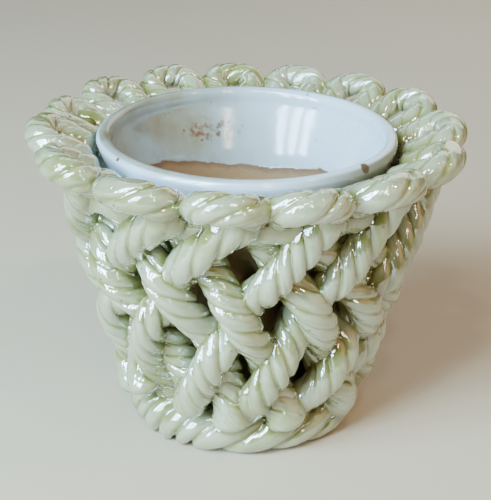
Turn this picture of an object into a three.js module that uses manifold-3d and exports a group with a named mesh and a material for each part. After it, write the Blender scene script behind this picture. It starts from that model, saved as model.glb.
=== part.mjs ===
// A glazed earthenware planter: an openwork basket built up from twisted ropes of clay, with a plain
// round pot standing loose inside it. Millimetres, +Z up, origin at the middle of the underside, and
// -Y towards the viewer. The ropes are separate pieces, as they are when the potter lays them: a foot
// ring round a floor slab, two sets of leaning ropes woven through each other, a band round their
// tops and a crown of loops laid on the band.

import * as THREE from "three";
import { mergeVertices } from "three/addons/utils/BufferGeometryUtils.js";
import Module from "manifold-3d";

const wasm = await Module();
wasm.setup();

// Room left between pieces that touch.
const gap = 0.3;

// Floor slab and foot ring.
const slabThickness = 8.5;
const slabLap = 2; // how far the slab reaches in over the round of the foot ring
const footRingRadius = 41.5;
const footRopeRadius = 8.5;
const footGround = 0.5; // how much the underside of the ring is ground flat
const footTurns = 8;

// Woven wall: as many ropes lean to the right as to the left.
const wovenCount = 13;
const wovenRopeRadius = 7.2;
const wallFootRadius = 38.4; // radius of the middle of the wall at the ground
const wallSlope = 0.275; // growth in radius for each millimetre of height
const weaveDepth = 5; // how far a rope swings out and in from the middle of the wall
const crossingHeight = 70; // middle row of crossings
const crossingSpacing = 23.1; // rise from one row of crossings to the next
const firstRopeAngle = -2; // degrees round from the front
const wovenTurns = 2;
const rightFootHeight = 13; // where the ropes are cut off at the foot, before they are pressed on
const leftFootHeight = 11;
const wovenTopHeight = 121;

// Band round the top of the wall.
const bandRadius = 69;
const bandHeight = 111.8;
const bandThickness = 12.4;

// Crown of loops: short ropes bent into hairpins and laid on the band so that they lean far out.
const loopAngles = [-5, 17, 42, 67.5, 95, 119.5, 142.5, 164, 185, 206, 230, 252, 272, 300, 330];
const loopRopeRadius = 6.6;
const crownRadius = 84.5; // middle of the rope at the tip of a loop
const crownUnder = 117.5; // height of the underside there
const crownRise = 0.42; // climb of a loop for each millimetre outwards
const loopTurns = 1.5;
const throatRadius = 62.6; // the loops stop here, clear of the pot's lip

// Liner pot.
const linerWall = 5;
const linerFloor = 6;
const linerClearance = 1.2; // room between the pot and the woven wall
const linerCorner = 4;
const linerNeckHeight = 100; // the wall of the pot opens out faster above this
const lipRadius = 61.6;
const lipHeight = 126.2;
const lipThickness = 6;
const linerSegments = 36;

const degrees = Math.PI / 180;

// How far each woven rope strays from an even lay, as it was laid by hand: degrees round at the
// middle of the wall, then more for each row up, then more for each row up squared.
const rightStray = [
  [1.5, -1.2, 0],
  [0.2, -2.9, 0],
  [7, -1, 0],
  [5, 0, -0.5],
  [2, 1, 0],
  [-1, 0.5, 0.5],
  [-2, -1, 0],
  [0, -0.5, 0],
  [1, 1, 0],
  [0, 0, -0.5],
  [-1, 0, 0.5],
  [-3, 0.5, 2.6],
  [-4.5, -1.5, 2.2],
];
const leftStray = [
  [0, 2, -0.6],
  [0, 0, 0],
  [-5, -3, 0],
  [-9, -3, 0],
  [-6, -1, 0],
  [-3, 0, 0.5],
  [-1, 1, 0],
  [1, 0, 0],
  [0, -1, 0],
  [2, 0, 0],
  [4, 0.5, 0],
  [7, 1, -1],
  [8, 2.2, -2],
];

// Angles run from the front, -Y, round to the right as seen by the viewer.
function polar(radius, angle, z) {
  const a = angle * degrees;
  return new THREE.Vector3(radius * Math.sin(a), -radius * Math.cos(a), z);
}

// A bar swept along a line, round or fluted into strands that twist about each other.
function ropeGeometry(line, { radius, sides, steps, strands = 1, flute = 0, turns = 0, closed = false }) {
  const rings = closed ? steps : steps + 1;
  const points = [];
  for (let i = 0; i < rings; i++) {
    const along = i / steps;
    const centre = line.pointAt(along);
    const tangent = line.tangentAt(along);
    const side = line.sideAt(along);
    side.addScaledVector(tangent, -tangent.dot(side)).normalize();
    const across = new THREE.Vector3().crossVectors(tangent, side);
    for (let j = 0; j < sides; j++) {
      const round = (j / sides) * 2 * Math.PI;
      const depth = flute * 0.5 * (1 - Math.cos(strands * round));
      const r = radius * line.thicknessAt(along) * (1 - depth);
      const turn = round - turns * along * 2 * Math.PI;
      const p = centre.clone().addScaledVector(side, r * Math.cos(turn)).addScaledVector(across, r * Math.sin(turn));
      points.push(p.x, p.y, p.z);
    }
  }
  const faces = [];
  for (let i = 0; i < steps; i++) {
    const next = (i + 1) % rings;
    for (let j = 0; j < sides; j++) {
      const k = (j + 1) % sides;
      const [a, b, c, d] = [i * sides + j, i * sides + k, next * sides + j, next * sides + k];
      faces.push(a, b, d, a, d, c);
    }
  }
  const last = (rings - 1) * sides;
  for (let j = 1; j < sides - 1 && !closed; j++) {
    faces.push(0, j + 1, j, last, last + j, last + j + 1);
  }
  const geometry = new THREE.BufferGeometry();
  geometry.setAttribute("position", new THREE.Float32BufferAttribute(points, 3));
  geometry.setIndex(faces);
  return geometry;
}

// A line for a rope to follow, with the shared way of finding its direction.
class Line {
  tangentAt(along) {
    const step = 0.002;
    return this.pointAt(along + step).sub(this.pointAt(along - step)).normalize();
  }
  thicknessAt() {
    return 1;
  }
}

// A level ring.
class RingLine extends Line {
  constructor(radius, height) {
    super();
    this.radius = radius;
    this.height = height;
  }
  pointAt(along) {
    return polar(this.radius, along * 360, this.height);
  }
  sideAt(along) {
    return polar(1, along * 360, 0);
  }
}

// Radius of the middle of the woven wall at a height.
function wallRadius(z) {
  return wallFootRadius + wallSlope * z;
}

function heightOfRow(row) {
  return crossingHeight + row * crossingSpacing;
}

// A rope of the woven wall. lean is 1 for the ropes that rise to the right and -1 for the others.
class WovenLine extends Line {
  constructor(index, lean) {
    super();
    this.index = index;
    this.lean = lean;
    this.stray = (lean > 0 ? rightStray : leftStray)[index % rightStray.length];
    this.low = lean > 0 ? rightFootHeight : leftFootHeight;
    this.crossings = new Map();
  }
  angleAt(z) {
    const row = (z - crossingHeight) / crossingSpacing;
    const even = firstRopeAngle + (this.index * 360 + this.lean * row * 180) / wovenCount;
    return even + this.stray[0] + this.stray[1] * row + this.stray[2] * row * row;
  }
  // Which crossing the rope is at, counted in rows from the middle one and in parts of a row between.
  rowAt(z) {
    let row = Math.floor((z - crossingHeight) / crossingSpacing);
    const found = (n) => this.crossings.get(n) ?? heightOfRow(n);
    while (z < found(row)) row--;
    while (z >= found(row + 1)) row++;
    return row + (z - found(row)) / (found(row + 1) - found(row));
  }
  // The ropes that lean right stay outside above their last crossing but one, and the others inside.
  swingAt(z) {
    const swing = Math.cos(Math.PI * Math.min(this.rowAt(z), 1));
    return -this.lean * weaveDepth * swing * (1.3 - 0.3 * swing * swing);
  }
  heightAt(along) {
    return this.low + (wovenTopHeight - this.low) * along;
  }
  pointAt(along) {
    const z = this.heightAt(along);
    return polar(wallRadius(z) + this.swingAt(z), this.angleAt(z), z);
  }
  sideAt(along) {
    return polar(1, this.angleAt(this.heightAt(along)), 0);
  }
}

// Finds the height at which two woven ropes cross, near the row given.
function findCrossing(right, left, row) {
  let low = heightOfRow(row - 0.8);
  let high = heightOfRow(row + 0.8);
  const apart = (z) => {
    const angle = (right.angleAt(z) - left.angleAt(z)) * degrees;
    return Math.atan2(Math.sin(angle), Math.cos(angle));
  };
  for (let i = 0; i < 30; i++) {
    const middle = (low + high) / 2;
    if (apart(middle) < 0) low = middle;
    else high = middle;
  }
  right.crossings.set(row, low);
  left.crossings.set(row, low);
}

// A loop, from its left leg at the throat round the tip to its right leg. Each row of the route is
// the distance in from the crown's radius and the share of the room on that side of the loop.
const loopRoute = [
  [20.5, -0.248],
  [15.5, -0.251],
  [9.5, -0.268],
  [4.2, -0.285],
  [0.9, -0.19],
  [0, 0],
  [0.9, 0.19],
  [4.2, 0.285],
  [9.5, 0.268],
  [15.5, 0.251],
  [20.5, 0.248],
];

// Height of the slope that the undersides of all the loops lie on.
function underCrown(radius) {
  return crownUnder + (radius - crownRadius) * crownRise;
}

class LoopLine extends Line {
  constructor(index) {
    super();
    const count = loopAngles.length;
    const previous = loopAngles[(index + count - 1) % count] - (index === 0 ? 360 : 0);
    const next = loopAngles[(index + 1) % count] + (index === count - 1 ? 360 : 0);
    const middle = loopAngles[index];
    this.angle = middle;
    this.fit = Math.min(1, ((next - previous) * count) / 720); // loops in a tight place are thinner
    const points = loopRoute.map(([inward, share], i) => {
      const turn = share * (share < 0 ? middle - previous : next - middle);
      const thickness = this.thicknessAt(i / (loopRoute.length - 1));
      const height = loopRopeRadius * thickness * Math.hypot(1, crownRise);
      return polar(crownRadius - inward, middle + turn, underCrown(crownRadius - inward) + height);
    });
    this.curve = new THREE.CatmullRomCurve3(points, false, "centripetal");
  }
  pointAt(along) {
    return this.curve.getPointAt(along);
  }
  tangentAt(along) {
    return this.curve.getTangentAt(along);
  }
  sideAt() {
    return polar(crownRise, this.angle, -1).negate();
  }
  thicknessAt(along) {
    const leg = Math.min(1, Math.abs(along - 0.5) * 2.4);
    return this.fit * (1 - 0.09 * leg * leg);
  }
}

// A three.js geometry as a solid that can be cut.
function solid(geometry) {
  const bare = new THREE.BufferGeometry().setAttribute("position", geometry.getAttribute("position"));
  if (geometry.index) bare.setIndex(geometry.index);
  const merged = mergeVertices(bare, 1e-4);
  return new wasm.Manifold(
    new wasm.Mesh({
      numProp: 3,
      vertProperties: Float32Array.from(merged.getAttribute("position").array),
      triVerts: Uint32Array.from(merged.index.array),
    }),
  );
}

// The largest of the bodies that a cut leaves, as a faceted geometry.
function geometryOf(body) {
  const largest = body.decompose().reduce((a, b) => (a.volume() > b.volume() ? a : b));
  const mesh = largest.simplify(0.02).getMesh();
  const geometry = new THREE.BufferGeometry();
  geometry.setAttribute("position", new THREE.BufferAttribute(mesh.vertProperties, 3));
  geometry.setIndex(new THREE.BufferAttribute(mesh.triVerts, 1));
  const faceted = geometry.toNonIndexed();
  faceted.computeVertexNormals();
  return faceted;
}

// The room that a rope needs, for pressing its neighbours with.
function roomFor(line, radius, sides, steps, closed = false) {
  return solid(ropeGeometry(line, { radius: (radius + gap) / Math.cos(Math.PI / sides), sides, steps, closed }));
}

const glaze = new THREE.MeshStandardMaterial({ name: "cream_glaze", color: 0xdfe3cf, roughness: 0.12 });
const potGlaze = new THREE.MeshStandardMaterial({ name: "white_glaze", color: 0xd9dedd, roughness: 0.1 });
const planter = new THREE.Group();

function addPiece(name, geometry, material) {
  const mesh = new THREE.Mesh(geometry, material);
  mesh.name = name;
  planter.add(mesh);
}

function numbered(name, index) {
  return name + "_" + String(index + 1).padStart(2, "0");
}

// Foot ring: two strands twisted into a ring, with its underside ground flat.
const footLine = new RingLine(footRingRadius, footRopeRadius - footGround);
const footOptions = { radius: footRopeRadius, sides: 8, steps: 48, strands: 2, flute: 0.22 };
const footRope = solid(ropeGeometry(footLine, { ...footOptions, turns: footTurns, closed: true }));
const ground = new THREE.BoxGeometry(300, 300, 100).translate(0, 0, -50);
addPiece("foot_rope", geometryOf(footRope.subtract(solid(ground))), glaze);

// Floor slab, with its edge pressed to the round of the foot ring.
const footRoom = roomFor(footLine, footRopeRadius, 8, 36, true);
const slabRadius = footRingRadius - footRopeRadius + slabLap;
const slab = new THREE.CylinderGeometry(slabRadius, slabRadius, slabThickness, 36);
slab.rotateX(Math.PI / 2).translate(0, 0, slabThickness / 2);
addPiece("floor_slab", geometryOf(solid(slab).subtract(footRoom)), glaze);

// Crown: the loops lie side by side and leave a little room between them.
const loops = loopAngles.map((_, index) => new LoopLine(index));
const loopOptions = { radius: loopRopeRadius, sides: 6, steps: 14, strands: 3, flute: 0.2, turns: loopTurns };
const throat = new THREE.CylinderGeometry(throatRadius, throatRadius, 60, 60).rotateX(Math.PI / 2);
const throatRoom = solid(throat.translate(0, 0, crownUnder));
loops.forEach((line, i) => {
  const body = solid(ropeGeometry(line, loopOptions)).subtract(throatRoom);
  addPiece(numbered("crown_loop", i), geometryOf(body), glaze);
});

// Everything above the slope that the undersides of the loops lie on.
const slope = [50, 100].map((radius) => new THREE.Vector2(radius, underCrown(radius) - gap));
const above = [100, 50].map((radius) => new THREE.Vector2(radius, crownUnder + 30));
const crownRoom = solid(new THREE.LatheGeometry([...slope, ...above, slope[0]], 60).rotateX(Math.PI / 2));

// Band: a plain coil round the wall, pressed flat by the loops laid on it.
const bandLine = new RingLine(bandRadius, bandHeight);
const bandOptions = { radius: bandThickness / 2, sides: 10, steps: 40, closed: true };
addPiece("rim_band", geometryOf(solid(ropeGeometry(bandLine, bandOptions)).subtract(crownRoom)), glaze);
const bandRoom = roomFor(bandLine, bandThickness / 2, 8, 36, true);

// Woven wall. Where two ropes cross, the one that passes inside is pressed to the shape of the other.
const wovenOptions = { radius: wovenRopeRadius, sides: 6, steps: 17, strands: 3, flute: 0.2, turns: wovenTurns };

function wovenSet(lean) {
  return Array.from({ length: wovenCount }, (_, index) => new WovenLine(index, lean));
}

const rightLines = wovenSet(1);
const leftLines = wovenSet(-1);
const crossings = [];
for (let row = -3; row <= 2; row++) {
  for (let i = 0; i < wovenCount; i++) {
    const j = (i + row + wovenCount) % wovenCount;
    findCrossing(rightLines[i], leftLines[j], row);
    crossings.push({ right: i, left: j, rightIsOut: row === 2 || Math.abs(row) === 1 });
  }
}
const madeOf = (line) => ({
  body: solid(ropeGeometry(line, wovenOptions)),
  room: roomFor(line, wovenRopeRadius, 8, 17),
});
const rightRopes = rightLines.map(madeOf);
const leftRopes = leftLines.map(madeOf);
for (const { right, left, rightIsOut } of crossings) {
  const inner = rightIsOut ? leftRopes[left] : rightRopes[right];
  const outer = rightIsOut ? rightRopes[right] : leftRopes[left];
  inner.body = inner.body.subtract(outer.room);
}
const ends = [footRoom, bandRoom, crownRoom];
rightRopes.forEach(({ body }, i) => {
  addPiece(numbered("right_rope", i), geometryOf(ends.reduce((a, b) => a.subtract(b), body)), glaze);
});
leftRopes.forEach(({ body }, i) => {
  addPiece(numbered("left_rope", i), geometryOf(ends.reduce((a, b) => a.subtract(b), body)), glaze);
});

// Liner pot: a thrown pot with straight sides that open out towards a rounded lip.
const linerBase = slabThickness + gap;
const outerFace = (z) => wallRadius(z) - weaveDepth - wovenRopeRadius - linerClearance;
const bead = lipThickness / 2;
const lipUnder = lipHeight - lipThickness;
const footOut = outerFace(linerBase);
const footSlope = Math.atan(wallSlope);
const profile = new THREE.Path();
profile.moveTo(0, linerBase);
profile.lineTo(footOut - linerCorner, linerBase);
profile.absarc(footOut - linerCorner, linerBase + linerCorner, linerCorner, -Math.PI / 2, -footSlope, false);
profile.lineTo(outerFace(linerNeckHeight), linerNeckHeight);
profile.lineTo(lipRadius - 0.8, lipUnder);
profile.absarc(lipRadius - bead, lipHeight - bead, bead, 0, Math.PI * 0.85, false);
profile.lineTo(lipRadius - lipThickness, lipUnder - 1);
profile.lineTo(outerFace(linerNeckHeight) - linerWall, linerNeckHeight);
profile.lineTo(outerFace(linerBase + linerFloor) - linerWall + 1, linerBase + linerFloor + linerCorner);
profile.lineTo(footOut - linerWall - linerCorner, linerBase + linerFloor);
profile.lineTo(0, linerBase + linerFloor);
const liner = new THREE.LatheGeometry(profile.getPoints(3), linerSegments);
addPiece("liner_pot", liner.rotateX(Math.PI / 2), potGlaze);

export default planter;
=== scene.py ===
import math
import random

import bpy
import numpy as np
from mathutils import Matrix, Vector
from mathutils.bvhtree import BVHTree


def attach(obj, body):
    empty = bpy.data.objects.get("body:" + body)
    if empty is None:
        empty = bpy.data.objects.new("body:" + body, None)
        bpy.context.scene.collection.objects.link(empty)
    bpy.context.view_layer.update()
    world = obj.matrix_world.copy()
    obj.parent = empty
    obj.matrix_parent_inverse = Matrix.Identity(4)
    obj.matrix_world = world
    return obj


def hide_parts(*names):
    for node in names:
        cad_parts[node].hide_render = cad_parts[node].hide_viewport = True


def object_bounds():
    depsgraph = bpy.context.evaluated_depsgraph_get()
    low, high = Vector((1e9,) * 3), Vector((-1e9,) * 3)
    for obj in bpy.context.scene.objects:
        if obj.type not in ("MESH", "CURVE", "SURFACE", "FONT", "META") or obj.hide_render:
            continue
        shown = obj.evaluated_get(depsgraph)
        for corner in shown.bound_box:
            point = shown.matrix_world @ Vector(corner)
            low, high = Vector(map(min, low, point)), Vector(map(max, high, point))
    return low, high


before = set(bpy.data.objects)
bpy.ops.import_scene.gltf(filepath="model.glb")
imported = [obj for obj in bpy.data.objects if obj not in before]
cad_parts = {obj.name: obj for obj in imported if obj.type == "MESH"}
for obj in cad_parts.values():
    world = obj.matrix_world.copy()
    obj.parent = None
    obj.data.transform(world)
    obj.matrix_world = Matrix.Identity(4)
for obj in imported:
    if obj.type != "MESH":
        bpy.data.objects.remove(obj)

cad_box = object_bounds()
bpy.ops.object.select_all(action="DESELECT")

# Foot ring
# The bottom of the basket stands on a ring of three strands of clay twisted together. It was rolled
# from soft earthenware, joined end to end, ground flat underneath and covered in a thick cream glaze.

# The sage and deep colours show glaze pooled in hollows, and they also paint shade into those hollows.
GLAZE_THIN = "#939573"
GLAZE_CREAM = "#797a43"
GLAZE_SAGE = "#5a5528"
GLAZE_DEEP_AND_SHADED = "#33290b"
CLAY_SPECK = "#4a4030"

# Pattern cells per metre: clouds in the glaze are 22 mm across, its ripples 4 mm, the lines left by
# rolling 1.6 mm, and the cells of which one in five holds a speck 4.3 mm.
GLAZE_CLOUD_SCALE = 45.0
GLAZE_RIPPLE_SCALE = 240.0
ROLLING_LINE_SCALE = 620.0
SPECK_CELL_SCALE = 230.0

FOOT_RING_RADIUS = 0.0415
FOOT_ROPE_RADIUS = 0.0085
FOOT_GROUND_OFF = 0.0005
FOOT_STRANDS = 3
FOOT_TURNS = 5
FOOT_FLUTE = 0.22
FOOT_ROUNDNESS = 0.9
FOOT_SIDES = 48
FOOT_RINGS = 420

# Between these angles from the front the ring's strands are wound tighter, into thicker lumps with
# deeper grooves.
FOOT_TIGHT_FROM = 268
FOOT_TIGHT_TO = 348
FOOT_TIGHT_TURNS = 1
FOOT_TIGHT_LUMPS = 0.15
FOOT_TIGHT_FLUTE = 0.7

# Marks of the hand on every twisted coil, as shares of its radius or of a strand's width. Creases
# run along each strand, at two places across it, and come and go.
ROLLED_UNEVEN = 0.03
STRANDS_UNEVEN = 0.025
STRANDS_SHIFT = 0.16
STRAND_LEAN = 0.5
GROOVE_SOFTNESS = 0.02
FLUTE_UNEVEN = 0.25
CREASE_PLACES = (0.66, 0.38)
CREASE_WIDTH = 0.05
CREASE_DEPTH = 0.035

# How much glaze pools in the deepest groove and in a crease. The colour there is also painted shade.
GROOVE_POOL_AND_SHADE = 0.42
CREASE_POOL_AND_SHADE = 0.1


def linear(hex_colour):
    """An sRGB hex colour as linear RGBA."""
    channels = [int(hex_colour[i:i + 2], 16) / 255 for i in (1, 3, 5)]
    return [c / 12.92 if c <= 0.04045 else ((c + 0.055) / 1.055) ** 2.4 for c in channels] + [1.0]


def add_node(tree, kind, settings=None, values=None, links=None):
    """Adds a shader node of a kind, with its settings, its unlinked values and what feeds it: a socket,
    or a node that gives its first output."""
    node = tree.nodes.new("ShaderNode" + kind)
    for name, value in (settings or {}).items():
        setattr(node, name, value)
    for socket, value in (values or {}).items():
        node.inputs[socket].default_value = value
    for socket, source in (links or {}).items():
        if isinstance(source, bpy.types.Node):
            source = source.outputs[0]
        tree.links.new(source, node.inputs[socket])
    return node


def bare_material(name):
    """A material with only its output node left."""
    material = bpy.data.materials.new(name)
    material.use_nodes = True
    tree = material.node_tree
    tree.nodes.clear()
    return material, tree, tree.nodes.new("ShaderNodeOutputMaterial")


def make_cream_glaze():
    """Lead glaze over pale earthenware: glassy, thin and almost white on the ridges, sage green where it
    pools in the grooves and darker at the joints, partly painted shade, with pinholes and dark iron
    specks."""
    material, tree, output = bare_material("cream_lead_glaze_dipped")
    place = add_node(tree, "TexCoord").outputs["Object"]
    lay = add_node(tree, "Attribute", {"attribute_name": "strand_lay"}).outputs["Vector"]
    # How thick the glaze lies, with painted shade in the grooves, creases and joints added in.
    pool_and_shade = add_node(tree, "Attribute", {"attribute_name": "glaze_pool_and_shade"}).outputs["Fac"]

    # Clouds in the glaze shift how much of it shows green.
    clouds = add_node(tree, "TexNoise", values={"Scale": GLAZE_CLOUD_SCALE, "Detail": 3.0},
                      links={"Vector": place})
    cloud_shift = add_node(tree, "MapRange",
                           values={"From Min": 0.35, "From Max": 0.65, "To Min": -0.16, "To Max": 0.16},
                           links={"Value": clouds})
    depth = add_node(tree, "Math", {"operation": "ADD", "use_clamp": True},
                     links={0: pool_and_shade, 1: cloud_shift})
    tint = add_node(tree, "ValToRGB", links={"Fac": depth})
    ramp = tint.color_ramp
    ramp.elements[0].position = 0.0
    ramp.elements[0].color = linear(GLAZE_THIN)
    ramp.elements[1].position = 1.0
    ramp.elements[1].color = linear(GLAZE_DEEP_AND_SHADED)
    for position, colour in ((0.2, GLAZE_CREAM), (0.6, GLAZE_SAGE)):
        ramp.elements.new(position).color = linear(colour)

    # Iron specks and pinholes about 1 mm across, one to every few square centimetres.
    specks = add_node(tree, "TexVoronoi",
                      values={"Scale": SPECK_CELL_SCALE, "Randomness": 1.0}, links={"Vector": place})
    sparse = add_node(tree, "SeparateColor", links={"Color": specks.outputs["Color"]})
    chosen = add_node(tree, "Math", {"operation": "GREATER_THAN"}, {1: 0.8}, {0: sparse.outputs["Red"]})
    near = add_node(tree, "MapRange",
                    values={"From Min": 0.08, "From Max": 0.18, "To Min": 1.0, "To Max": 0.0},
                    links={"Value": specks.outputs["Distance"]})
    speck = add_node(tree, "Math", {"operation": "MULTIPLY"}, links={0: chosen, 1: near})
    speck_share = add_node(tree, "Math", {"operation": "MULTIPLY"}, {1: 0.9}, {0: speck})
    colour = add_node(tree, "Mix", {"data_type": "RGBA"}, {7: linear(CLAY_SPECK)},
                      {0: speck_share, 6: tint.outputs["Color"]})

    # Fine lines along the strands, a soft ripple in the glaze, and the pits of the pinholes.
    along = add_node(tree, "Mapping", values={"Scale": (1.0, 1.0, 0.12)}, links={"Vector": lay})
    lines = add_node(tree, "TexNoise", values={"Scale": ROLLING_LINE_SCALE, "Detail": 2.0},
                     links={"Vector": along})
    ripple = add_node(tree, "TexNoise", values={"Scale": GLAZE_RIPPLE_SCALE, "Detail": 1.0},
                      links={"Vector": place})
    fine = add_node(tree, "Bump", values={"Strength": 0.5, "Distance": 0.0004}, links={"Height": lines})
    soft = add_node(tree, "Bump", values={"Strength": 0.55, "Distance": 0.0006},
                    links={"Height": ripple, "Normal": fine})
    pits = add_node(tree, "Bump", {"invert": True}, {"Strength": 0.8, "Distance": 0.0003},
                    {"Height": speck, "Normal": soft})
    dull = add_node(tree, "MapRange",
                    values={"From Min": 0.3, "From Max": 0.7, "To Min": 0.03, "To Max": 0.08},
                    links={"Value": clouds})
    shader = add_node(tree, "BsdfPrincipled",
                      values={"IOR": 1.8, "Coat Weight": 1.0, "Coat IOR": 1.9, "Coat Roughness": 0.03},
                      links={"Base Color": colour.outputs[2], "Roughness": dull,
                             "Normal": pits, "Coat Normal": pits})
    tree.links.new(shader.outputs["BSDF"], output.inputs["Surface"])
    return material


cream_glaze = make_cream_glaze()


def polar(radius, angle, height):
    """Points round the pot. Angles are in degrees from the front, towards the viewer's right."""
    turn = np.radians(angle)
    return np.stack([radius * np.sin(turn), -radius * np.cos(turn), height + 0 * turn], axis=-1)


def unit(vectors):
    return vectors / np.linalg.norm(vectors, axis=-1, keepdims=True)


def roll_coil(name, sides, rings):
    """A straight coil of clay, one unit long and one in radius, cut into rings along its length."""
    bpy.ops.object.select_all(action="DESELECT")
    bpy.ops.mesh.primitive_cylinder_add(vertices=sides, radius=1, depth=1, location=(0, 0, 0.5))
    coil = bpy.context.object
    coil.name = name
    bpy.ops.object.transform_apply(location=True)
    bpy.ops.object.mode_set(mode="EDIT")
    bpy.ops.mesh.select_mode(type="EDGE")
    bpy.ops.mesh.select_all(action="DESELECT")
    bpy.ops.object.mode_set(mode="OBJECT")
    for edge in coil.data.edges:
        low, high = [coil.data.vertices[v].co.z for v in edge.vertices]
        edge.select = low != high
    bpy.ops.object.mode_set(mode="EDIT")
    bpy.ops.mesh.subdivide_edgering(number_cuts=rings - 1, interpolation="LINEAR", smoothness=0)
    bpy.ops.object.mode_set(mode="OBJECT")
    coil.select_set(False)
    return coil


def wander(along, waves, seed):
    """A slow uneven wave along a coil, between about -1 and 1, as hands leave it."""
    luck = random.Random(seed)
    total = 0 * along
    for wave in range(1, waves + 1):
        total = total + np.sin(2 * np.pi * (wave * along + luck.random())) * luck.uniform(0.5, 1.0)
    return total / math.sqrt(waves)


def strand_swell(share, roundness):
    """How far a strand stands out at a share of its width: 1 on top and 0 in the groove beside it.
    Each strand leans over the next one, as they do when a coil is twisted up tight. With a roundness
    of 1 the strands are round, and below it they are flatter with narrower grooves."""
    leaning = share + STRAND_LEAN * np.sin(2 * np.pi * share) / (2 * np.pi)
    softened = np.sqrt(np.sin(np.pi * leaning) ** 2 + GROOVE_SOFTNESS)
    lowest = 0.14
    span = 0.87
    return ((softened - lowest) / span) ** roundness


def add_values(mesh, name, kind, field, values):
    """Adds an attribute to a mesh's points."""
    mesh.attributes.new(name, kind, "POINT").data.foreach_set(field, values)


def lay_coil(coil, name, line, radius, seed, strands=0, flute=0.0, roundness=1.0):
    """A copy of a straight coil laid along a line and twisted. line takes places along the coil, 0 to
    1, and gives the middle points, a sideways direction, the thickness, how deep the flutes are and
    how many turns the coil is twisted by up to there."""
    piece = coil.copy()
    piece.data = coil.data.copy()
    piece.name = name
    piece.data.name = name
    bpy.context.scene.collection.objects.link(piece)
    flat = np.empty(len(piece.data.vertices) * 3)
    piece.data.vertices.foreach_get("co", flat)
    rolled = flat.reshape(-1, 3)
    angle = np.arctan2(rolled[:, 1], rolled[:, 0])
    along = np.clip(rolled[:, 2], 0.0, 1.0)

    middle, side, thickness, depth, turns = line(along)
    step = 0.002
    tangent = unit(line(along + step)[0] - line(along - step)[0])
    side = unit(side - tangent * np.sum(side * tangent, axis=1, keepdims=True))
    across = np.cross(tangent, side)
    uneven = 1 + ROLLED_UNEVEN * wander(along, 3, seed)
    fall = np.zeros(len(angle))
    crease = np.zeros(len(angle))
    if strands:
        around = (angle + STRANDS_SHIFT * np.sin(angle + seed)) * strands / (2 * np.pi)
        share = around % 1.0
        own_size = np.sin(np.floor(around % strands) * 2.4 + seed)
        uneven += STRANDS_UNEVEN * own_size
        fall = 1 - strand_swell(share, roundness)
        for number, crease_place in enumerate(CREASE_PLACES):
            comes_and_goes = np.clip(wander(along, 4, seed + 7 + 4 * number), 0, 1)
            line_across = np.exp(-(((share - crease_place) / CREASE_WIDTH) ** 2))
            crease = np.maximum(crease, line_across * comes_and_goes)
        depth = depth * (1 + FLUTE_UNEVEN * wander(along, 3, seed + 5))
    drop = radius * thickness * (flute * depth * fall + CREASE_DEPTH * crease)
    reach = radius * thickness * uneven - drop
    turn = angle - turns * 2 * np.pi
    sideways = side * (reach * np.cos(turn))[:, None]
    spot = middle + sideways + across * (reach * np.sin(turn))[:, None]
    piece.data.vertices.foreach_set("co", spot.ravel())

    stations = line(np.linspace(0, 1, 60))[0]
    length = np.linalg.norm(stations[1:] - stations[:-1], axis=1).sum()
    lay = np.stack([radius * np.cos(angle), radius * np.sin(angle), along * length], axis=1)
    # Glaze pooled in the grooves and creases, darkened further as painted shade.
    pool_and_shade = GROOVE_POOL_AND_SHADE * fall ** 2 * np.clip(depth, 0, 1) + CREASE_POOL_AND_SHADE * crease
    add_values(piece.data, "strand_lay", "FLOAT_VECTOR", "vector", lay.ravel())
    add_values(piece.data, "glaze_pool_and_shade", "FLOAT", "value", pool_and_shade)
    add_values(piece.data, "groove_depth", "FLOAT", "value", drop)
    piece.data.polygons.foreach_set("use_smooth", [True] * len(piece.data.polygons))
    piece.data.materials.clear()
    piece.data.materials.append(cream_glaze)
    piece.data.update()
    return piece


def round_end(distance, length):
    """The share of its full thickness that a rounded end has at a distance from its tip, where a
    small flat is left."""
    inward = np.clip(1 - distance / length, 0, 1)
    return np.sqrt(np.clip(1 - inward * inward, 0.02, 1))


def join_ring(piece):
    """Joins the two ends of a coil laid in a ring, without the flat faces that closed them."""
    bpy.ops.object.select_all(action="DESELECT")
    bpy.context.view_layer.objects.active = piece
    piece.select_set(True)
    bpy.ops.object.mode_set(mode="EDIT")
    bpy.ops.mesh.select_mode(type="FACE")
    bpy.ops.mesh.select_all(action="DESELECT")
    bpy.ops.object.mode_set(mode="OBJECT")
    for face in piece.data.polygons:
        face.select = len(face.vertices) > 4
    bpy.ops.object.mode_set(mode="EDIT")
    bpy.ops.mesh.delete(type="ONLY_FACE")
    bpy.ops.mesh.select_all(action="SELECT")
    bpy.ops.mesh.remove_doubles(threshold=0.00001)
    bpy.ops.object.mode_set(mode="OBJECT")
    piece.select_set(False)


def finish_piece(piece, body, node):
    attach(piece, body)
    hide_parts(node)


basket = []

foot_coil = roll_coil("foot_coil", FOOT_SIDES, FOOT_RINGS)


def foot_line(along):
    """The foot ring's course."""
    angle = along * 360
    middle = polar(FOOT_RING_RADIUS, angle, FOOT_ROPE_RADIUS - FOOT_GROUND_OFF)
    passed = np.clip((angle - FOOT_TIGHT_FROM) / (FOOT_TIGHT_TO - FOOT_TIGHT_FROM), 0, 1)
    turns = FOOT_TURNS * along + FOOT_TIGHT_TURNS * passed * passed * (3 - 2 * passed)
    tight = np.sin(np.pi * passed) ** 2
    thickness = 1 + FOOT_TIGHT_LUMPS * tight
    depth = 1 + FOOT_TIGHT_FLUTE * tight
    return middle, polar(1.0, angle, 0.0), thickness, depth, turns


foot = lay_coil(foot_coil, "foot_rope_glazed", foot_line, FOOT_ROPE_RADIUS, seed=3,
                strands=FOOT_STRANDS, flute=FOOT_FLUTE, roundness=FOOT_ROUNDNESS)
join_ring(foot)
finish_piece(foot, "basket", "foot_rope")
basket.append(foot)
bpy.data.objects.remove(foot_coil)

# Woven wall
# Thirteen coils lean to the right and thirteen to the left, each of four strands twisted together.
# The potter laid them through each other, over and under, while they were still soft.

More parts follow.
